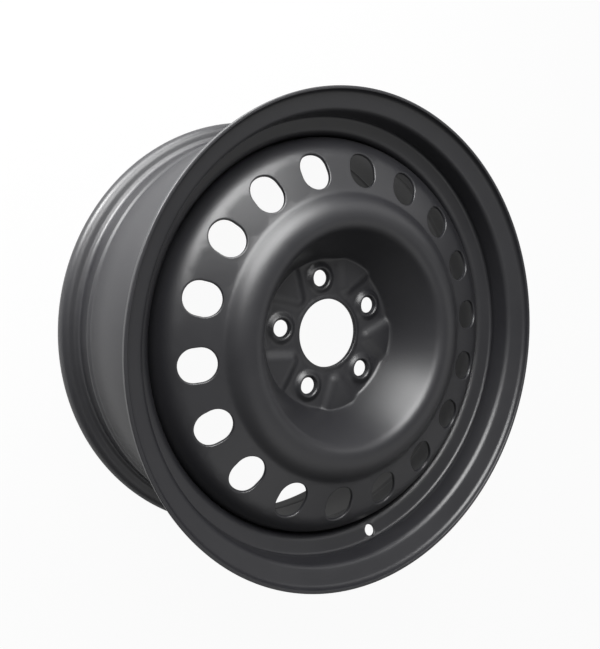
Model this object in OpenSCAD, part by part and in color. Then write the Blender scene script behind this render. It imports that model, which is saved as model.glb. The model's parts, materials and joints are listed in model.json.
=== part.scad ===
// Pressed steel wheel: a rolled drop-centre rim with a stamped disc welded inside it.
// Millimetres. The origin is the centre of the hub mounting face, +Z points outboard.

/* [Rim] */
// Bead seat diameter, at the heel of the flange
bead_d = 436.6; // [424:0.1:462]
// Rim width between the flanges, at half their height
rim_w = 177.8; // [165:0.1:203]
// Distance from the rim's centre plane out to the mounting face
wheel_offset = 30; // [24:0.5:38]
// Sheet thickness of the rim
rim_t = 3; // [2.2:0.1:3.6]
// Flange height above the bead seat
flange_h = 17.3; // [16:0.1:19]
// Flare of the outboard flange away from the tyre, in degrees
flange_flare = 27; // [12:1:30]
// Flare of the inboard flange away from the tyre, in degrees
inner_flare = 3; // [0:1:12]
// How far the lip's edge stands beyond the middle of the flange's tyre face
lip_w = 11.9; // [10.5:0.1:14]
// Bend radius of the outboard lip, on its tyre side
lip_bend = 8; // [5:0.5:9]
// Bend radius of the inboard lip, on its tyre side
inner_lip_bend = 9.5; // [6:0.5:10]
// Fillet at the heel of the outboard bead, on the tyre side
heel_bend = 4; // [2:0.5:6]
// Fillet at the heel of the inboard bead, on the tyre side
inner_heel_bend = 6.5; // [4:0.5:7]
// Length of the tapered outboard bead seat, from the flange to the foot of the hump
seat_w = 16.5; // [14:0.5:18]
// Length of the tapered inboard bead seat, from the flange to the foot of the hump
inner_seat_w = 20; // [17:0.5:21]
// Taper of the bead seats, in degrees
seat_taper = 5; // [3:0.5:8]
// Rise of the safety hump over the line of the bead seat
hump_rise = 1.3; // [0.6:0.1:2]
// Length of each side of the hump
hump_w = 4.5; // [3.5:0.5:6]
// Depth of the drop well below the bead seat
well_depth = 17.3; // [14:0.1:20]
// Distance from the corner of the disc's shoulder back to the front corner of the well
well_lead = 12.4; // [10:0.1:14]
// Length of the floor of the drop well
well_w = 33; // [30:0.5:42]
// Bend radius at the two ends of the well floor
well_bend = 7; // [4:0.5:9]
// Slope of the barrel where it leaves the well inboard, in degrees
barrel_slope = 20; // [14:1:30]
// Drop of the barrel behind the inboard hump, below the bead seat
ledge_drop = 3.7; // [2.5:0.1:5]
// Taper of the barrel between the well slope and the inboard hump, in degrees
ledge_taper = 4; // [2:0.5:6]
// Bend radius where the barrel flattens out
barrel_bend = 190; // [40:5:200]
// Diameter of the valve hole in the front wall of the well
valve_d = 11.3; // [9:0.1:12]

/* [Disc] */
// Sheet thickness of the disc
disc_t = 4; // [3:0.1:4.8]
// Height of the donut's crest above the mounting face
crest_h = 60.3; // [54:0.1:66]
// Drop from the crest to the crease around the donut
crease_drop = 11.6; // [10.5:0.1:14]
// Slope of the donut's outer side at the crease, in degrees
donut_slope = 40; // [36:1:45]
// Radial distance from the crease in to the corner of the bowl wall
donut_w = 33.5; // [31:0.1:38]
// Bend radius on the outer side of the donut
donut_bend = 29; // [20:1:29]
// Bend radius at the top of the bowl wall
bowl_bend = 15; // [8:0.5:15]
// Fillet in the crease around the donut
crease_bend = 12; // [4:0.5:14]
// Radial width of the vent band, from the crease out to the disc's flange
band_w = 56.9; // [54:0.1:60]
// Slope of the vent band, in degrees
band_slope = 14; // [11:0.5:18]
// Bend radius of the shoulder where the band turns into the flange
shoulder_bend = 30; // [20:1:32]
// Length of the disc's flange below the corner of the shoulder
flange_len = 36.4; // [34:0.1:40]
// Clearance between the disc's flange and the well
fit_gap = 0.1; // [0.05:0.05:0.3]

/* [Vents] */
// Number of vent holes
vent_count = 18; // [10:1:18]
// Width of a vent hole around the wheel
vent_w = 30.2; // [24:0.1:34]
// Length of a vent hole along the slope of the band
vent_l = 35.2; // [34.5:0.1:40]
// Distance from the disc's flange in to the centre of a vent hole
vent_inset = 34.3; // [31:0.1:36]
// Angle of the first vent hole from +X, in degrees
vent_start = 15; // [0:1:20]

/* [Hub] */
// Diameter of the centre bore
bore_d = 70.3; // [56:0.1:74]
// Rise of the turned lip around the bore
bore_lip_h = 1.2; // [0.6:0.1:2]
// Width of the turned lip around the bore
bore_lip_w = 5; // [3.5:0.1:6]
// Radius of the hub floor, where the bowl wall starts
hub_r = 76.5; // [75:0.1:80]
// Fillet between the hub floor and the bowl wall
hub_bend = 6; // [3:0.5:8]
// Number of wheel nut holes
lug_count = 5; // [4:1:5]
// Pitch circle diameter of the nut holes
lug_pcd = 115; // [108:0.1:120]
// Diameter of a nut hole
lug_d = 16.6; // [14:0.1:18]
// Wide diameter of the conical nut seat
seat_d = 21; // [19:0.1:23]
// Included angle of the nut seat, in degrees
seat_angle = 60; // [60:5:90]
// Rise of a nut boss above the hub floor
boss_rise = 4; // [3:0.1:5]
// Diameter of a nut boss at its foot
boss_foot_d = 33; // [30:0.1:34]
// Diameter of a nut boss at its rim
boss_rim_d = 23; // [22:0.1:25]
// Depth of the hollow under a nut boss, where the sheet is drawn up
boss_hollow = 2.5; // [1:0.1:3]
// Rise of the raised pads between the nut bosses
pad_rise = 4.8; // [3:0.1:6]
// Distance from the axis to the centre of a pad's round nose
pad_nose = 53; // [51:0.1:57]
// Radius of a pad's nose at its foot
pad_foot_r = 10.5; // [9:0.1:12]
// Radius of a pad's nose at its top
pad_top_r = 3; // [2:0.1:5]
// Angle between a side of a pad and its middle line, in degrees
pad_fan = 31.5; // [24:0.5:34]

/* [Welds] */
// Number of weld beads between the disc's flange and the well
weld_count = 8; // [4:1:12]
// Length of a weld bead around the wheel
weld_len = 48; // [20:1:70]
// Leg of the fillet weld
weld_leg = 4; // [3:0.1:4.5]

/* [Hidden] */
$fn = 96;

paint = "#303134";
weld_paint = "#2b2c2f";
// Steps in each bend of a section
bend_steps = 6;
// Overlap that joins two solids of one piece, and overshoot of a cut
bite = 0.6;

bead_r = bead_d / 2;
well_r = bead_r - well_depth;
disc_r = well_r - rim_t - fit_gap;
front_z = rim_w / 2 - wheel_offset;
back_z = -rim_w / 2 - wheel_offset;

crease = [disc_r - band_w, crest_h - crease_drop];
shoulder = [disc_r, crease[1] - band_w * tan(band_slope)];
flange_end = shoulder[1] - flange_len;
bowl_corner = [crease[0] - donut_w, crest_h];
vent_r = disc_r - vent_inset;
pad_slope = atan2(pad_rise, pad_foot_r - pad_top_r);
// Loss of a boss's diameter over each millimetre of its height
boss_taper = (boss_foot_d - boss_rim_d) / boss_rise;
lug_step = 360 / lug_count;

// Sheet metal sections: corners joined by straight legs, each corner bent to a radius

function unit(v) = v / norm(v);
function left_of(v) = [-v[1], v[0]];
function leg(p, i) = unit(p[i + 1] - p[i]);
function turn(p, i) = let (u = leg(p, i - 1), v = leg(p, i)) atan2(u[0] * v[1] - u[1] * v[0], u * v);
function inner(p, i) = i > 0 && i < len(p) - 1;

// Tangent length of the bend at corner i
function tangent(p, r, i) = inner(p, i) ? r[i] * tan(abs(turn(p, i)) / 2) : 0;

// Share of its wish that leg i can give to the bends at its two ends
function share(p, r, i) = min(1, norm(p[i + 1] - p[i]) / (tangent(p, r, i) + tangent(p, r, i + 1) + 0.001));

// Bend radii, made smaller where a leg is too short for the bends at its ends
function fitted(p, r) = [
    for (i = [0 : len(p) - 1]) inner(p, i) ? r[i] * min(share(p, r, i - 1), share(p, r, i)) : 0
];

// Corners of the parallel path at distance d to the left
function shifted(p, d) = [
    for (i = [0 : len(p) - 1])
        let (
            a = left_of(leg(p, max(i - 1, 0))),
            b = left_of(leg(p, min(i, len(p) - 2)))
        )
        p[i] + d * (a + b) / (1 + a * b)
];

// Points of a path whose corners are bent to their radii
function bent(p, r) = [
    for (i = [0 : len(p) - 1])
        if (!inner(p, i)) p[i]
        else
            let (
                angle = turn(p, i),
                start = p[i] - leg(p, i - 1) * r[i] * tan(abs(angle) / 2),
                arm = -sign(angle) * r[i] * left_of(leg(p, i - 1))
            )
            for (k = [0 : bend_steps])
                let (s = angle * k / bend_steps)
                start - arm + [arm[0] * cos(s) - arm[1] * sin(s), arm[0] * sin(s) + arm[1] * cos(s)]
];

// Closed outline of a sheet that lies to the right of its path
function sheet(p, wish, t) =
    let (
        r = fitted(p, wish),
        far = [for (i = [0 : len(p) - 1]) inner(p, i) ? max(r[i] + sign(turn(p, i)) * t, 0.2) : 0],
        back = bent(shifted(p, -t), far)
    )
    concat(bent(p, r), [for (i = [len(back) - 1 : -1 : 0]) back[i]]);

// Meeting point of the line through p at angle a and the line through q at angle b
function meet(p, a, q, b) =
    let (d = q - p)
    p + (d[0] * sin(b) - d[1] * cos(b)) / sin(b - a) * [cos(a), sin(a)];

// Rim section, along its tyre side from the outboard lip to the inboard lip

lip_r = bead_r + flange_h;
flare_z = flange_h / 2 * tan(flange_flare);
heel_front = front_z - flare_z;
inner_flare_z = flange_h / 2 * tan(inner_flare);
heel_back = back_z + inner_flare_z;
hump_foot_r = bead_r - seat_w * tan(seat_taper);
hump_r = hump_foot_r + hump_rise;
hump_z = seat_w + hump_w;
inner_hump_foot_r = bead_r - inner_seat_w * tan(seat_taper);
inner_hump_z = inner_seat_w + hump_w;

well_front = shoulder[1] - well_lead;
well_back = well_front - well_w;
hump_back = [bead_r - ledge_drop, heel_back + inner_hump_z + hump_w];
barrel_knee = meet([well_r, well_back], -90 + barrel_slope, hump_back, 90 + ledge_taper);

rim_path = [
    [lip_r, front_z + lip_w],
    [lip_r, front_z + flare_z],
    [bead_r, heel_front],
    [hump_foot_r, heel_front - seat_w],
    [hump_r, heel_front - hump_z],
    [hump_r - hump_rise / 2, heel_front - hump_z - hump_w],
    [well_r, well_front],
    [well_r, well_back],
    barrel_knee,
    hump_back,
    [inner_hump_foot_r + hump_rise, heel_back + inner_hump_z],
    [inner_hump_foot_r, heel_back + inner_seat_w],
    [bead_r, heel_back],
    [lip_r, back_z - inner_flare_z],
    [lip_r, back_z - lip_w]
];
rim_bends = [
    0, lip_bend, heel_bend, hump_w, hump_w, well_bend, well_bend,
    well_bend, barrel_bend, hump_w, hump_w, hump_w, inner_heel_bend, inner_lip_bend, 0
];

// Front wall of the well, where the valve hole sits
wall_top = rim_path[5];
wall_foot = rim_path[6];
valve_at = (wall_top + wall_foot) / 2 - left_of(unit(wall_foot - wall_top)) * rim_t / 2;
valve_tilt = atan2(wall_top[0] - wall_foot[0], wall_top[1] - wall_foot[1]) - 90;

module rim() color(paint) difference() {
    rotate_extrude() polygon(sheet(rim_path, rim_bends, rim_t));
    rotate([0, 0, -90])
        translate([valve_at[0], 0, valve_at[1]])
            rotate([0, valve_tilt, 0])
                cylinder(d = valve_d, h = 6 * rim_t, center = true);
}

// Disc section, along its front from the bore out to the end of the flange

disc_path = [
    [bore_d / 2, disc_t],
    [hub_r, disc_t],
    bowl_corner,
    [crease[0] - crease_drop / tan(donut_slope), crest_h],
    crease,
    shoulder,
    [disc_r, flange_end]
];
disc_bends = [0, hub_bend, bowl_bend, donut_bend, crease_bend, shoulder_bend, 0];

// Turned lip around the bore, with a sloping outer side
module bore_lip() {
    bore_r = bore_d / 2;
    rotate_extrude() polygon([
        [bore_r, disc_t - bite],
        [bore_r + bore_lip_w, disc_t - bite],
        [bore_r + bore_lip_w, disc_t],
        [bore_r + bore_lip_w / 2, disc_t + bore_lip_h],
        [bore_r, disc_t + bore_lip_h]
    ]);
}

// One side of a pad: a long bar whose sloping face stands off the middle of the nose
module pad_side(foot_r, top_r, z, side) {
    reach = 2 * hub_r;
    rotate([90, 0, 90 + side * pad_fan])
        linear_extrude(reach, center = true)
            polygon([
                [side * foot_r, z],
                [side * top_r, z + pad_rise],
                [-side * reach, z + pad_rise],
                [-side * reach, z]
            ]);
}

// Fan-shaped raised pad with a round nose, standing on height z out to radius limit
module pad(foot_r, top_r, z, limit) intersection() {
    translate([0, 0, z - bite]) cylinder(r = limit, h = pad_rise + 2 * bite);
    translate([pad_nose, 0, 0]) union() {
        translate([0, 0, z - bite]) cylinder(r = foot_r - bite, h = bite);
        translate([0, 0, z]) cylinder(r1 = foot_r, r2 = top_r, h = pad_rise);
        intersection() {
            pad_side(foot_r - bite / 2, top_r - bite / 2, z, 1);
            pad_side(foot_r - bite / 2, top_r - bite / 2, z, -1);
            translate([0, -hub_r, z - bite]) cube([hub_r, 2 * hub_r, pad_rise + 2 * bite]);
        }
    }
}

// Boss around a nut hole
module boss() translate([lug_pcd / 2, 0, disc_t - bite])
    cylinder(d1 = boss_foot_d + boss_taper * bite, d2 = boss_rim_d, h = boss_rise + bite);

// Nut hole with its conical seat, and the hollow under its boss
module nut_hole() translate([lug_pcd / 2, 0, 0]) {
    seat_depth = (seat_d - lug_d) / 2 / tan(seat_angle / 2);
    rim_z = disc_t + boss_rise;
    hollow_d = boss_foot_d - 2 * disc_t * tan(atan2(2, boss_taper) / 2);
    translate([0, 0, -bite]) cylinder(d = lug_d, h = rim_z + 2 * bite);
    translate([0, 0, rim_z - seat_depth]) cylinder(d1 = lug_d, d2 = seat_d, h = seat_depth);
    translate([0, 0, rim_z]) cylinder(d = seat_d, h = bite);
    translate([0, 0, -bite]) cylinder(
        d1 = hollow_d + boss_taper * bite,
        d2 = hollow_d - boss_taper * boss_hollow,
        h = boss_hollow + bite
    );
}

// Vent hole, a long round hole pierced square to the band
module vent() {
    band_z = shoulder[1] + vent_inset * tan(band_slope) - disc_t / 2 / cos(band_slope);
    gap = vent_l - vent_w;
    deep = 6 * disc_t;
    translate([vent_r, 0, band_z]) rotate([0, band_slope, 0]) {
        for (s = [-1, 1]) translate([s * gap / 2, 0, 0]) cylinder(d = vent_w, h = deep, center = true);
        cube([gap, vent_w, deep], center = true);
    }
}

module disc() color(paint) difference() {
    inset = disc_t * tan(pad_slope / 2);
    union() {
        rotate_extrude() polygon(sheet(disc_path, disc_bends, disc_t));
        bore_lip();
        for (i = [0 : lug_count - 1]) rotate([0, 0, 90 + i * lug_step]) {
            boss();
            rotate([0, 0, lug_step / 2]) pad(pad_foot_r, pad_top_r, disc_t, hub_r + disc_t / 2);
        }
    }
    translate([0, 0, -bite]) cylinder(d = bore_d, h = disc_t + bore_lip_h + 2 * bite);
    for (i = [0 : lug_count - 1]) rotate([0, 0, 90 + i * lug_step]) {
        nut_hole();
        rotate([0, 0, lug_step / 2]) pad(pad_foot_r - inset, pad_top_r - inset, 0, hub_r + 3 * disc_t);
    }
    for (i = [0 : vent_count - 1]) rotate([0, 0, vent_start + i * 360 / vent_count]) vent();
}

// Fillet welds under the end of the disc's flange
module disc_welds() color(weld_paint) {
    well_face = well_r - rim_t;
    leg = min(weld_leg, disc_t);
    sweep = weld_len / disc_r * 180 / PI;
    for (i = [0 : weld_count - 1])
        rotate([0, 0, 90 - sweep / 2 + i * 360 / weld_count])
            rotate_extrude(angle = sweep)
                polygon([
                    [well_face, flange_end],
                    [well_face, flange_end - leg],
                    [disc_r - leg, flange_end]
                ]);
}

rim();
disc();
disc_welds();
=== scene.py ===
import json
import math
from bisect import bisect_right

import bmesh
import bpy
from mathutils import Matrix, Vector


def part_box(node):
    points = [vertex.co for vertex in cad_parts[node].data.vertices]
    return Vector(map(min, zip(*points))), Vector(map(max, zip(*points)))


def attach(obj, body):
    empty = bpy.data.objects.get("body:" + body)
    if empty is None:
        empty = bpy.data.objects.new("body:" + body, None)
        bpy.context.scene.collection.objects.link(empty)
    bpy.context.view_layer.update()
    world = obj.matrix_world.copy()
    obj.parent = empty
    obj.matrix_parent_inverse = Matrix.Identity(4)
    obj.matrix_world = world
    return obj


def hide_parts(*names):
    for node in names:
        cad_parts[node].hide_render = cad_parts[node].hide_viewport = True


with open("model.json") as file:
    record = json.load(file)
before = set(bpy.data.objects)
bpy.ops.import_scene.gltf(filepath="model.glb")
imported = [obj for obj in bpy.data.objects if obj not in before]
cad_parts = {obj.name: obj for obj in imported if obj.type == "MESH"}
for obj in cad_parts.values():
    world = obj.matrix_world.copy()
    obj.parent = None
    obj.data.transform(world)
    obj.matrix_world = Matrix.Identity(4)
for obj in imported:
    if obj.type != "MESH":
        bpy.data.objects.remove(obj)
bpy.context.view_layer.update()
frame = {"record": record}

# Pressed steel wheel lying on its inboard lip, outboard side up. Sizes are in millimetres
# until a piece is finished, and MM brings them to metres. The studio is in metres.
MM = 0.001
COLUMNS = 360
SEAM = math.radians(45)

mounts = {mount["name"]: mount for mount in frame["record"]["mounts"]}


# Sizes of the rim
BEAD_R = mounts["outboard_bead_seat"]["dims"]["r_mm"]
RIM_W = 177.8
WHEEL_OFFSET = 30
RIM_T = mounts["valve_hole"]["dims"]["length_mm"]
FLANGE_H = 17.3
FLANGE_FLARE = math.radians(27)
INNER_FLARE = math.radians(3)
LIP_W = 11.9
LIP_BEND = 8
INNER_LIP_BEND = 9.5
HEEL_BEND = 4
INNER_HEEL_BEND = 6.5
BEAD_SEAT_W = mounts["outboard_bead_seat"]["dims"]["length_mm"]
INNER_SEAT_W = mounts["inboard_bead_seat"]["dims"]["length_mm"]
BEAD_TAPER = math.radians(5)
HUMP_RISE = 1.3
HUMP_W = 4.5
WELL_DEPTH = 17.3
WELL_LEAD = 12.4
WELL_W = 33
WELL_BEND = 7
BARREL_SLOPE = math.radians(20)
LEDGE_DROP = 3.7
LEDGE_TAPER = math.radians(4)
BARREL_BEND = 190
VALVE_R = mounts["valve_hole"]["dims"]["r_mm"]
VALVE_ANGLE = math.radians(270)

# Sizes of the disc
DISC_T = 4
CREST_H = 60.3
CREASE_DROP = 11.6
DONUT_SLOPE = math.radians(40)
DONUT_W = 33.5
DONUT_BEND = 29
BOWL_BEND = 15
CREASE_BEND = 12
BAND_W = 56.9
BAND_SLOPE = math.radians(14)
SHOULDER_BEND = 30
FLANGE_LEN = 36.4
FIT_GAP = 0.1
VENTS = 18
VENT_W = 30.2
VENT_L = 35.2
VENT_INSET = 34.3
VENT_START = math.radians(15)

# Sizes of the hub
BORE_R = mounts["hub_bore"]["dims"]["r_mm"]
BORE_LIP_H = 1.2
BORE_LIP_W = 5
HUB_R = 76.5
HUB_BEND = 6
LUGS = mounts["nut_holes"]["dims"]["count"]
LUG_R = mounts["nut_holes"]["dims"]["hole_r_mm"]
LUG_CIRCLE_R = mounts["nut_holes"]["dims"]["pcd_mm"] / 2
LUG_START = math.radians(90)
NUT_SEAT_R = 10.5
NUT_SEAT_HALF_ANGLE = math.radians(30)
BOSS_RISE = 4
BOSS_FOOT_R = 16.5
BOSS_RIM_R = 11.5
BOSS_HOLLOW = 2.5
PAD_RISE = 4.8
PAD_NOSE = 53
PAD_FOOT_R = 10.5
PAD_TOP_R = 3
PAD_FAN = math.radians(31.5)

# Widths over which the raised forms of the hub floor run into each other
PAD_TOP_BLEND = 3.0
PAD_FOOT_BLEND = 3.0
PAD_BACK_BLEND = 2.0
BOSS_TOP_BLEND = 0.8
BOSS_FOOT_BLEND = 1.6
BORE_TOP_BLEND = 0.5
BORE_FOOT_BLEND = 0.6

# Sizes of the weld beads
WELDS = 8
WELD_START = math.radians(90)
WELD_LEN = 48
WELD_LEG = 4
WELD_TOE = 1
WELD_SWELL = 0.9
WELD_RIPPLES = 20
WELD_RIPPLE_DEPTH = 0.08
WELD_END_SIZE = 0.35
WELD_END_GROWTH = 14

# Rounding of cut edges, less where the sheet is thinned
RIM_EDGE = 1.4
DISC_EDGE = 1.1
THIN_EDGE = 0.25

# Mesh at the holes: how much larger than the hole the cleared box is, along the section and
# around the wheel, and the widths of the rings of faces beside a form's edge
VALVE_ROOM = (7, 12)
VALVE_COLLAR = 1.2
VENT_ROOM = (8.8, 11)
VENT_COLLAR = 1.8
BOSS_ROOM = (5, 5)
BOSS_FOOT_COLLAR = 1.2
BOSS_FOOT_STEP = 0.4
BOSS_RIM_STEP = 0.8


# Sections of bent sheet

class Section:
    """Path of a bent sheet in the r-z plane, walked by its length. The sheet lies to its right.

    Each straight leg has a pitch, the length of one mesh row on it. The bend after a leg has one
    row every BEND_STEP at least, and no row longer than the leg's pitch.
    """

    BEND_STEP = math.radians(7)
    ROW_SLACK = 0.01

    def __init__(self, corners, bends, pitches, start=0.0):
        corners = [Vector(corner) for corner in corners]
        legs = [b - a for a, b in zip(corners, corners[1:])]
        headings = [math.atan2(leg.y, leg.x) for leg in legs]
        turns = [math.remainder(b - a, math.tau) for a, b in zip(headings, headings[1:])]
        cuts = [0] + [r * math.tan(abs(turn) / 2) for r, turn in zip(bends, turns)] + [0]
        self.starts = []
        self.stretches = []
        self.legs = []
        self.length = start
        place = corners[0]
        for i, leg in enumerate(legs):
            self.legs.append(len(self.stretches))
            straight = leg.length - cuts[i] - cuts[i + 1]
            place = self.add(place, headings[i], straight, 0.0, pitches[i])
            if i < len(turns) and bends[i] > 0:
                arc = bends[i] * abs(turns[i])
                rows = math.ceil(max(abs(turns[i]) / self.BEND_STEP, arc / pitches[i]))
                place = self.add(place, headings[i], arc, turns[i] / arc, arc / rows)

    def add(self, place, heading, length, curve, pitch):
        """Adds a stretch of even curve, and gives the point where it ends."""
        self.starts.append(self.length)
        self.stretches.append((place, heading, length, curve, pitch))
        self.length += length
        return self.at(self.length)[0]

    def at(self, length):
        """The point at this length, and the direction across the sheet there."""
        i = max(bisect_right(self.starts, length) - 1, 0)
        place, heading, _, curve, _ = self.stretches[i]
        walked = length - self.starts[i]
        half_turn = curve * walked / 2
        chord = walked * math.sin(half_turn) / half_turn if half_turn else walked
        middle = heading + half_turn
        point = place + chord * Vector((math.cos(middle), math.sin(middle)))
        end = heading + 2 * half_turn
        return point, Vector((math.sin(end), -math.cos(end)))

    def rows(self):
        """Lengths of the mesh rows along the path."""
        lengths = []
        for begin, (_, _, length, _, pitch) in zip(self.starts, self.stretches):
            count = max(1, math.ceil(length / pitch - self.ROW_SLACK))
            lengths += [begin + length * k / count for k in range(count)]
        return lengths + [self.length]

    def on_leg(self, leg, radius):
        """Length at which a straight leg reaches a radius, and the leg's climb in radius."""
        i = self.legs[leg]
        place, heading, _, _, _ = self.stretches[i]
        climb = math.cos(heading)
        return self.starts[i] + (radius - place.x) / climb, climb


def meeting(p, p_angle, q, q_angle):
    """Where the line through p at one angle meets the line through q at another."""
    gap = Vector(q) - Vector(p)
    along = (gap.x * math.sin(q_angle) - gap.y * math.cos(q_angle)) / math.sin(q_angle - p_angle)
    return Vector(p) + along * Vector((math.cos(p_angle), math.sin(p_angle)))


# Blanks of sheet: a mesh in length along the section, angle around the wheel and depth

def flat_blank(section):
    """Sheet one face thick, closed around the wheel."""
    bm = bmesh.new()
    rows = section.rows()
    bmesh.ops.create_grid(bm, x_segments=len(rows) - 1, y_segments=COLUMNS, size=0.5)
    first = {}
    last = {}
    for v in bm.verts:
        row = round((v.co.x + 0.5) * (len(rows) - 1))
        column = round((v.co.y + 0.5) * COLUMNS)
        v.co = (rows[row], SEAM + column / COLUMNS * math.tau, 0)
        if column == 0:
            first[row] = v
        if column == COLUMNS:
            last[row] = v
    bmesh.ops.weld_verts(bm, targetmap={last[row]: first[row] for row in first})
    return bm


def oblong(length, width):
    """Reach of a long round outline from its middle, by direction."""
    end_r = width / 2
    shift = (length - width) / 2

    def reach(direction):
        across = abs(math.sin(direction))
        along = abs(math.cos(direction))
        if across > 0 and along * end_r / across <= shift:
            return end_r / across
        return shift * along + math.sqrt(end_r ** 2 - (shift * across) ** 2)

    return reach


def pierce(bm, length, angle, radius, climb, box, outlines):
    """Cuts a hole whose middle lies at this length and angle, where the sheet has this radius.

    The faces inside the box go, and rings of faces lead from its edge to each outline in turn.
    """
    def local(v):
        turn = math.remainder(v.co.y - angle, math.tau)
        reach = radius + (v.co.x - length) * climb
        return Vector(((reach * math.cos(turn) - radius) / climb, reach * math.sin(turn)))

    def placed(spot):
        reach = radius + spot.x * climb
        far = math.hypot(reach, spot.y)
        return length + (far - radius) / climb, angle + math.atan2(spot.y, reach), 0

    half_l, half_w = box[0] / 2, box[1] / 2
    near = set()
    for v in bm.verts:
        turn = math.remainder(v.co.y - angle, math.tau)
        if abs(v.co.x - length) < half_l and abs(turn) * radius < half_w:
            near.add(v)
    inside = {f for v in near for f in v.link_faces if all(u in near for u in f.verts)}
    ring = {e for f in inside for e in f.edges if any(g not in inside for g in e.link_faces)}
    bmesh.ops.delete(bm, geom=list(inside), context="FACES")
    for outline in outlines:
        made = bmesh.ops.extrude_edge_only(bm, edges=list(ring))["geom"]
        verts = {v for v in made if isinstance(v, bmesh.types.BMVert)}
        for v in verts:
            spot = local(v)
            direction = math.atan2(spot.y, spot.x)
            reach = outline(direction)
            v.co = placed(reach * Vector((math.cos(direction), math.sin(direction))))
        ring = {e for v in verts for e in v.link_edges if all(u in verts for u in e.verts)}


def pressed(bm, section, thickness, edge_r, relief=None):
    """Gives the blank its thickness, forms it around the wheel and rounds its cut edges."""
    made = bmesh.ops.extrude_face_region(bm, geom=bm.faces[:])["geom"]
    back = [v for v in made if isinstance(v, bmesh.types.BMVert)]
    bmesh.ops.translate(bm, vec=(0, 0, thickness), verts=back)
    walls = []
    for f in bm.faces:
        if len({v.co.z > 0 for v in f.verts}) == 2:
            rungs = [e for e in f.edges if (e.verts[0].co.z > 0) != (e.verts[1].co.z > 0)]
            edges = [e for e in f.edges if e not in rungs]
            walls.append((edges, rungs))
    for v in bm.verts:
        length, angle, depth = v.co
        point, across = section.at(length)
        point = point + depth * across
        x = point.x * math.cos(angle)
        y = point.x * math.sin(angle)
        z = relief(x, y, point.y, depth) if relief else point.y
        v.co = (x, y, z)
    bmesh.ops.recalc_face_normals(bm, faces=bm.faces[:])
    rounded = set()
    thin = set()
    for edges, rungs in walls:
        room = min(e.calc_length() for e in rungs)
        (rounded if room > 2 * edge_r else thin).update(edges)
    for edges, offset in ((rounded, edge_r), (thin, THIN_EDGE)):
        bmesh.ops.bevel(bm, geom=list(edges), offset=offset, offset_type="OFFSET", segments=3,
                        profile=0.5, affect="EDGES", clamp_overlap=True, material=-1)


def object_of(bm, name, material):
    """Puts the mesh into the scene as an object in one material."""
    mesh = bpy.data.meshes.new(name)
    bm.to_mesh(mesh)
    bm.free()
    mesh.materials.append(material)
    made = bpy.data.objects.new(name, mesh)
    bpy.context.scene.collection.objects.link(made)
    return made


def finish_piece(bm, name, material, node):
    """Makes the mesh a piece of the wheel that stands for a CAD node."""
    bmesh.ops.scale(bm, vec=(MM, MM, MM), verts=bm.verts[:])
    for f in bm.faces:
        f.smooth = True
    piece = object_of(bm, name, material)
    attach(piece, "root")
    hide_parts(node)


# The places that the rim, the disc and the welds share

WELL_R = BEAD_R - WELL_DEPTH
WELL_FACE_R = WELL_R - RIM_T
DISC_R = WELL_FACE_R - FIT_GAP
CREASE = Vector((DISC_R - BAND_W, CREST_H - CREASE_DROP))
SHOULDER = Vector((DISC_R, CREASE.y - BAND_W * math.tan(BAND_SLOPE)))
FLANGE_END = SHOULDER.y - FLANGE_LEN


def make_rim(material):
    """Rolled ring from the outboard lip to the inboard one, with the valve hole."""
    lip_r = BEAD_R + FLANGE_H
    front = RIM_W / 2 - WHEEL_OFFSET
    back = -RIM_W / 2 - WHEEL_OFFSET
    flare = FLANGE_H / 2 * math.tan(FLANGE_FLARE)
    hump_foot_r = BEAD_R - BEAD_SEAT_W * math.tan(BEAD_TAPER)
    hump_r = hump_foot_r + HUMP_RISE
    hump = BEAD_SEAT_W + HUMP_W
    inner_flare = FLANGE_H / 2 * math.tan(INNER_FLARE)
    inner_heel = back + inner_flare
    inner_hump_foot_r = BEAD_R - INNER_SEAT_W * math.tan(BEAD_TAPER)
    inner_hump = inner_heel + INNER_SEAT_W + HUMP_W
    well_front = SHOULDER.y - WELL_LEAD
    well_back = well_front - WELL_W
    wall_top = Vector((hump_r - HUMP_RISE / 2, front - flare - hump - HUMP_W))
    wall_foot = Vector((WELL_R, well_front))
    ledge = Vector((BEAD_R - LEDGE_DROP, inner_hump + HUMP_W))
    knee = meeting((WELL_R, well_back), BARREL_SLOPE - math.pi / 2, ledge, LEDGE_TAPER + math.pi / 2)
    corners = [
        (lip_r, front + LIP_W), (lip_r, front + flare), (BEAD_R, front - flare),
        (hump_foot_r, front - flare - BEAD_SEAT_W), (hump_r, front - flare - hump), wall_top, wall_foot,
        (WELL_R, well_back), knee, ledge,
        (inner_hump_foot_r + HUMP_RISE, inner_hump), (inner_hump_foot_r, inner_heel + INNER_SEAT_W),
        (BEAD_R, inner_heel), (lip_r, back - inner_flare), (lip_r, back - LIP_W)]
    bends = [LIP_BEND, HEEL_BEND, HUMP_W, HUMP_W, WELL_BEND, WELL_BEND, WELL_BEND,
             BARREL_BEND, HUMP_W, HUMP_W, HUMP_W, INNER_HEEL_BEND, INNER_LIP_BEND]
    pitches = [3, 4, 6, 3, 3, 2.5, 10, 10, 10, 3, 3, 6, 4, 3]
    section = Section(corners, bends, pitches)
    bm = flat_blank(section)
    wall_leg = corners.index(wall_top)
    valve_r = (wall_top.x + wall_foot.x) / 2
    length, climb = section.on_leg(wall_leg, valve_r)
    hole = 2 * VALVE_R
    collar = hole + 2 * VALVE_COLLAR
    box = (hole + VALVE_ROOM[0], hole + VALVE_ROOM[1])
    pierce(bm, length, VALVE_ANGLE, valve_r, climb, box, [oblong(collar, collar), oblong(hole, hole)])
    pressed(bm, section, RIM_T, RIM_EDGE)
    finish_piece(bm, "rim_rolled", material, "rim")


# Raised forms of the hub floor

def soft_max(a, b, width):
    """The larger of two heights, with the corner between them rounded over this width."""
    blend = max(width - abs(a - b), 0) / width
    return max(a, b) + blend * blend * width / 4


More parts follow.
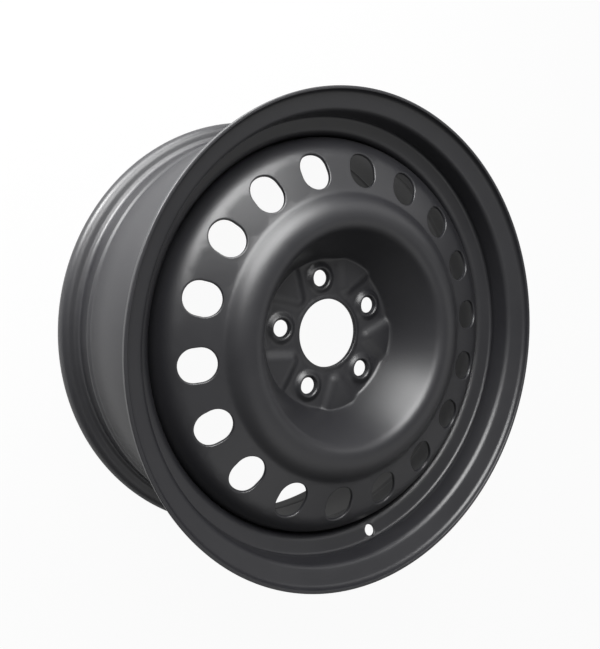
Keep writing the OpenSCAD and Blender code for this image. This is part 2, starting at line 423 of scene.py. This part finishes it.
def soft_min(a, b, width):
    return -soft_max(-a, -b, width)


def nearest_copy(x, y, first):
    """The point, turned so that the nut hole or pad nearest to it lies along +X."""
    step = math.tau / LUGS
    angle = math.remainder(math.atan2(y, x) - first, step)
    far = math.hypot(x, y)
    return far * math.cos(angle), far * math.sin(angle)


def pad_height(x, y, inset):
    """Height of a fan-shaped pad over the hub floor, below zero outside its foot."""
    u, v = nearest_copy(x, y, LUG_START + math.pi / LUGS)
    u -= PAD_NOSE
    v = abs(v)
    side = v * math.cos(PAD_FAN) - u * math.sin(PAD_FAN)
    beside_the_fan = u * math.cos(PAD_FAN) + v * math.sin(PAD_FAN) > 0
    gap = side if beside_the_fan else math.hypot(u, v)
    height = PAD_RISE * (PAD_FOOT_R - inset - gap) / (PAD_FOOT_R - PAD_TOP_R)
    return soft_min(height, PAD_RISE, PAD_TOP_BLEND)


def boss_height(gap):
    """Height of a nut boss at this distance from the hole's middle."""
    height = BOSS_RISE * (BOSS_FOOT_R - gap) / (BOSS_FOOT_R - BOSS_RIM_R)
    return soft_min(height, BOSS_RISE, BOSS_TOP_BLEND)


def hollow_height(gap):
    """Height of the hollow under a nut boss, where the sheet is drawn up."""
    side = (BOSS_FOOT_R - BOSS_RIM_R) / BOSS_RISE
    foot_r = BOSS_FOOT_R - DISC_T * math.tan(math.atan2(1, side) / 2)
    return min((foot_r - gap) / side, BOSS_HOLLOW)


def nut_seat_height(gap):
    """Height of the conical nut seat at this distance from the hole's middle."""
    return BOSS_RISE - (NUT_SEAT_R - gap) / math.tan(NUT_SEAT_HALF_ANGLE)


def bore_lip_height(far):
    """Height of the turned lip of the bore at this distance from the wheel's axis."""
    height = (BORE_R + BORE_LIP_W - far) * 2 * BORE_LIP_H / BORE_LIP_W
    return soft_min(height, BORE_LIP_H, BORE_TOP_BLEND)


def make_disc(material):
    """Stamping from the bore to the flange in the well, with the vents and the nut holes."""
    bowl_corner = Vector((CREASE.x - DONUT_W, CREST_H))
    pad_slope = math.atan2(PAD_RISE, PAD_FOOT_R - PAD_TOP_R)
    pad_inset = DISC_T * math.tan(pad_slope / 2)
    fine_share = 0.2
    low_wall = Vector((HUB_R, DISC_T)).lerp(bowl_corner, fine_share)
    crest_end = (CREASE.x - CREASE_DROP / math.tan(DONUT_SLOPE), CREST_H)
    corners = [
        (BORE_R, DISC_T), (HUB_R, DISC_T), low_wall, bowl_corner,
        crest_end, CREASE, SHOULDER, (DISC_R, FLANGE_END)]
    bends = [HUB_BEND, 0, BOWL_BEND, DONUT_BEND, CREASE_BEND, SHOULDER_BEND]
    pitches = [1.5, 1.5, 5, 2.6, 2, 2.2, 6]
    section = Section(corners, bends, pitches, start=BORE_R)
    raised_r = HUB_R + 3 * DISC_T

    def relief(x, y, z, depth):
        far = math.hypot(x, y)
        if far > raised_r:
            return z
        u, v = nearest_copy(x, y, LUG_START)
        gap = math.hypot(u - LUG_CIRCLE_R, v)
        if depth > DISC_T / 2:
            return max(soft_max(z, pad_height(x, y, pad_inset), PAD_BACK_BLEND), hollow_height(gap))
        z = soft_max(z, DISC_T + pad_height(x, y, 0), PAD_FOOT_BLEND)
        z = soft_max(z, DISC_T + bore_lip_height(far), BORE_FOOT_BLEND)
        z = soft_max(z, DISC_T + boss_height(gap), BOSS_FOOT_BLEND)
        if gap < NUT_SEAT_R:
            z = min(z, DISC_T + nut_seat_height(gap))
        return z

    bm = flat_blank(section)
    band_leg = corners.index(CREASE)
    vent_r = DISC_R - VENT_INSET
    length, climb = section.on_leg(band_leg, vent_r)
    vent_rings = [oblong(VENT_L + 2 * collar, VENT_W + 2 * collar) for collar in (VENT_COLLAR, 0)]
    vent_box = (VENT_L + VENT_ROOM[0], VENT_W + VENT_ROOM[1])
    for k in range(VENTS):
        angle = VENT_START + math.tau * k / VENTS
        pierce(bm, length, angle, vent_r, climb, vent_box, vent_rings)
    boss_radii = [BOSS_FOOT_R + BOSS_FOOT_COLLAR, BOSS_FOOT_R - BOSS_FOOT_STEP,
                  (BOSS_FOOT_R + BOSS_RIM_R) / 2, BOSS_RIM_R + BOSS_RIM_STEP, BOSS_RIM_R,
                  NUT_SEAT_R, (NUT_SEAT_R + LUG_R) / 2, LUG_R]
    boss_rings = [oblong(2 * r, 2 * r) for r in boss_radii]
    boss_box = (2 * BOSS_FOOT_R + BOSS_ROOM[0], 2 * BOSS_FOOT_R + BOSS_ROOM[1])
    for k in range(LUGS):
        angle = LUG_START + math.tau * k / LUGS
        pierce(bm, LUG_CIRCLE_R, angle, LUG_CIRCLE_R, 1, boss_box, boss_rings)
    pressed(bm, section, DISC_T, DISC_EDGE, relief)
    finish_piece(bm, "disc_stamped", material, "disc")


def make_welds(material):
    """Fillet beads with the ripple of the weld pool, under the end of the disc's flange."""
    bm = bmesh.new()
    sweep = WELD_LEN / DISC_R
    steps = 72
    face_steps = 6
    toe = Vector((DISC_R - WELD_LEG, FLANGE_END + WELD_TOE))
    foot = Vector((WELL_FACE_R, FLANGE_END - WELD_LEG))
    root = Vector((WELL_FACE_R, FLANGE_END))
    outwards = (toe + foot) / 2 - root
    outwards.normalize()
    profile = []
    for k in range(face_steps + 1):
        swell = WELD_SWELL * math.sin(math.pi * k / face_steps)
        p = toe.lerp(foot, k / face_steps) + swell * outwards
        profile.append(bm.verts.new((p.x, 0, p.y)))
    profile.append(bm.verts.new((root.x, 0, root.y)))
    edges = [bm.edges.new((a, b)) for a, b in zip(profile, profile[1:] + profile[:1])]
    bmesh.ops.spin(bm, geom=profile + edges, axis=(0, 0, 1), cent=(0, 0, 0), angle=sweep, steps=steps,
                   use_merge=False, use_duplicate=False)
    for v in bm.verts:
        angle = math.atan2(v.co.y, v.co.x)
        share = angle / sweep
        ripple = WELD_RIPPLE_DEPTH * math.sin(share * WELD_RIPPLES * math.tau)
        fade = min(1, WELD_END_GROWTH * min(share, 1 - share) + WELD_END_SIZE)
        r = math.hypot(v.co.x, v.co.y)
        from_root = Vector((r, v.co.z)) - root
        p = root + from_root * fade * (1 + ripple * from_root.length / WELD_LEG)
        v.co = (p.x * math.cos(angle), p.x * math.sin(angle), p.y)
    bmesh.ops.holes_fill(bm, edges=[e for e in bm.edges if e.is_boundary], sides=0)
    bmesh.ops.recalc_face_normals(bm, faces=bm.faces[:])
    first = bm.verts[:] + bm.edges[:] + bm.faces[:]
    for k in range(1, WELDS):
        made = bmesh.ops.duplicate(bm, geom=first)["geom"]
        verts = [v for v in made if isinstance(v, bmesh.types.BMVert)]
        turn = Matrix.Rotation(math.tau * k / WELDS, 3, "Z")
        bmesh.ops.rotate(bm, cent=(0, 0, 0), matrix=turn, verts=verts)
    start = Matrix.Rotation(WELD_START - sweep / 2, 3, "Z")
    bmesh.ops.rotate(bm, cent=(0, 0, 0), matrix=start, verts=bm.verts[:])
    finish_piece(bm, "disc_weld_beads", material, "disc_welds")


# Materials

class Value:
    """A socket of a material's nodes. Arithmetic on values adds Math nodes."""

    def __init__(self, tree, socket):
        self.tree = tree
        self.socket = socket

    def node(self, kind, settings=None, output=0, **inputs):
        """Adds a node. An input is named as its socket is, or i0, i1 and so on by its place."""
        made = self.tree.nodes.new(kind)
        for name, setting in (settings or {}).items():
            setattr(made, name, setting)
        for name, value in inputs.items():
            by_place = name[1:].isdigit()
            socket = made.inputs[int(name[1:]) if by_place else name.replace("_", " ")]
            if isinstance(value, Value):
                self.tree.links.new(value.socket, socket)
            else:
                socket.default_value = value
        return Value(self.tree, made.outputs[output])

    def maths(self, operation, a, b):
        return self.node("ShaderNodeMath", {"operation": operation}, i0=a, i1=b)

    def __add__(self, other):
        return self.maths("ADD", self, other)

    def __radd__(self, other):
        return self.maths("ADD", other, self)

    def __sub__(self, other):
        return self.maths("SUBTRACT", self, other)

    def __rsub__(self, other):
        return self.maths("SUBTRACT", other, self)

    def __mul__(self, other):
        return self.maths("MULTIPLY", self, other)

    def __rmul__(self, other):
        return self.maths("MULTIPLY", other, self)


def bare_material(name):
    """A material without nodes, and its tree."""
    material = bpy.data.materials.new(name)
    material.use_nodes = True
    material.node_tree.nodes.clear()
    return material, material.node_tree


def show(tree, shader):
    """Makes this shader the material's surface."""
    output = tree.nodes.new("ShaderNodeOutputMaterial")
    tree.links.new(shader.socket, output.inputs["Surface"])


def ray_kinds(tree):
    """Whether a ray comes from the camera, and whether it comes from gloss or glass."""
    rays = tree.nodes.new("ShaderNodeLightPath").outputs
    mirrored = Value(tree, rays["Is Glossy Ray"]) + Value(tree, rays["Is Transmission Ray"])
    return Value(tree, rays["Is Camera Ray"]), mirrored


def dip_coat(name, dark, pale, roughness, grain):
    """Satin dip coat: a little uneven in tone and gloss, with a fine skin like orange peel."""
    material, tree = bare_material(name)
    place = Value(tree, tree.nodes.new("ShaderNodeTexCoord").outputs["Object"])
    patches = place.node("ShaderNodeTexNoise", Vector=place, Scale=16.0, Detail=3.0, Roughness=0.55)
    flow = place.node("ShaderNodeTexNoise", Vector=place, Scale=70.0, Detail=2.0, Roughness=0.5)
    skin = place.node("ShaderNodeTexNoise", Vector=place, Scale=520.0, Detail=2.0, Roughness=0.6)
    tone = 0.7 * patches + 0.3 * flow
    gloss = roughness + 0.10 * (patches - 0.5) + 0.06 * (skin - 0.5)
    colour = place.node("ShaderNodeMix", {"data_type": "RGBA"}, 2, Factor=tone, i6=dark, i7=pale)
    bump = place.node("ShaderNodeBump", Strength=grain, Distance=0.0004, Height=skin + 1.5 * flow)
    paint = place.node("ShaderNodeBsdfPrincipled", Base_Color=colour, Roughness=gloss, Normal=bump,
                       Specular_IOR_Level=1.0)
    show(tree, paint)
    return material


def floor_paint():
    """Pale matt floor that looks white where nothing shades it."""
    material, tree = bare_material("studio_floor")
    camera, mirrored = ray_kinds(tree)
    whiteness = 0.95 * camera + 0.25 * mirrored
    matt = whiteness.node("ShaderNodeBsdfDiffuse", Color=(0.6, 0.6, 0.6, 1))
    white = whiteness.node("ShaderNodeEmission", Color=(1, 1, 1, 1), Strength=1.0)
    both = whiteness.node("ShaderNodeMixShader", i0=whiteness, i1=matt, i2=white)
    show(tree, both)
    return material


SHEET_DARK = (0.012, 0.012, 0.015, 1)
SHEET_PALE = (0.024, 0.024, 0.027, 1)
BEAD_DARK = (0.010, 0.010, 0.012, 1)
BEAD_PALE = (0.020, 0.020, 0.022, 1)

make_rim(dip_coat("rim_dip_coat", SHEET_DARK, SHEET_PALE, roughness=0.40, grain=0.10))
make_disc(dip_coat("disc_dip_coat", SHEET_DARK, SHEET_PALE, roughness=0.40, grain=0.10))
make_welds(dip_coat("weld_dip_coat", BEAD_DARK, BEAD_PALE, roughness=0.48, grain=0.25))


# Studio

def make_floor(height):
    """Square floor under the wheel, 12 metres wide."""
    bm = bmesh.new()
    bmesh.ops.create_grid(bm, x_segments=1, y_segments=1, size=6)
    bmesh.ops.translate(bm, vec=(0, 0, height), verts=bm.verts[:])
    object_of(bm, "studio_floor", floor_paint())


def make_camera():
    """Camera fitted to the circles of the wheel in the photograph, which is 600 by 649 pixels."""
    width, height = 600, 649
    focal = 665.9
    centre = (306.3, 282.8)
    place = Vector((-0.3789, 0.1424, 0.5587))
    back = Vector((-0.5415, 0.1294, 0.8306)).normalized()
    up = Vector((0.1921, 0.9810, -0.0276))
    right = up.cross(back).normalized()
    up = back.cross(right)
    camera = bpy.data.cameras.new("photo_camera")
    camera.sensor_width = 36
    camera.lens = focal / height * camera.sensor_width
    camera.shift_x = (width / 2 - centre[0]) / height
    camera.shift_y = (centre[1] - height / 2) / height
    stand = bpy.data.objects.new("photo_camera", camera)
    turn = Matrix((right, up, back)).transposed().to_4x4()
    stand.matrix_world = Matrix.Translation(place) @ turn
    bpy.context.scene.collection.objects.link(stand)
    bpy.context.scene.camera = stand


def make_softbox(name, azimuth, elevation, distance, width, height, power):
    """Area lamp that faces the wheel from this direction, given in degrees."""
    lamp = bpy.data.lights.new(name, "AREA")
    lamp.shape = "RECTANGLE"
    lamp.size = width
    lamp.size_y = height
    lamp.energy = power
    stand = bpy.data.objects.new(name, lamp)
    around = math.radians(azimuth)
    rise = math.radians(elevation)
    away = Vector((math.cos(rise) * math.cos(around), math.cos(rise) * math.sin(around), math.sin(rise)))
    turn = away.to_track_quat("Z", "Y").to_matrix().to_4x4()
    stand.matrix_world = Matrix.Translation(away * distance) @ turn
    bpy.context.scene.collection.objects.link(stand)


def make_sky(level):
    """Even light from all sides. The camera sees it white, and gloss sees it a little brighter."""
    world = bpy.data.worlds.new("studio_air")
    world.use_nodes = True
    tree = world.node_tree
    camera, mirrored = ray_kinds(tree)
    strength = level + (1 - level) * camera + 0.05 * mirrored
    air = tree.nodes["Background"]
    air.inputs["Color"].default_value = (1, 1, 1, 1)
    tree.links.new(strength.socket, air.inputs["Strength"])
    bpy.context.scene.world = world


floor_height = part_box("rim")[0].z
make_floor(floor_height)
make_camera()
make_softbox("key_softbox", 100, 42, distance=0.9, width=0.8, height=0.5, power=10)
make_softbox("low_softbox", 108, 10, distance=1.2, width=1.2, height=0.45, power=15)
make_softbox("barrel_softbox", 128, -2, distance=0.9, width=0.3, height=0.12, power=4)
make_softbox("front_fill", 265, 50, distance=1.6, width=1.0, height=1.0, power=1.5)
make_softbox("right_fill", 325, 38, distance=1.6, width=1.4, height=1.0, power=1.5)
make_softbox("side_fill", 26, 30, distance=1.6, width=0.9, height=0.8, power=1.6)
make_sky(level=0.1)
bpy.context.scene.view_settings.view_transform = "Standard"
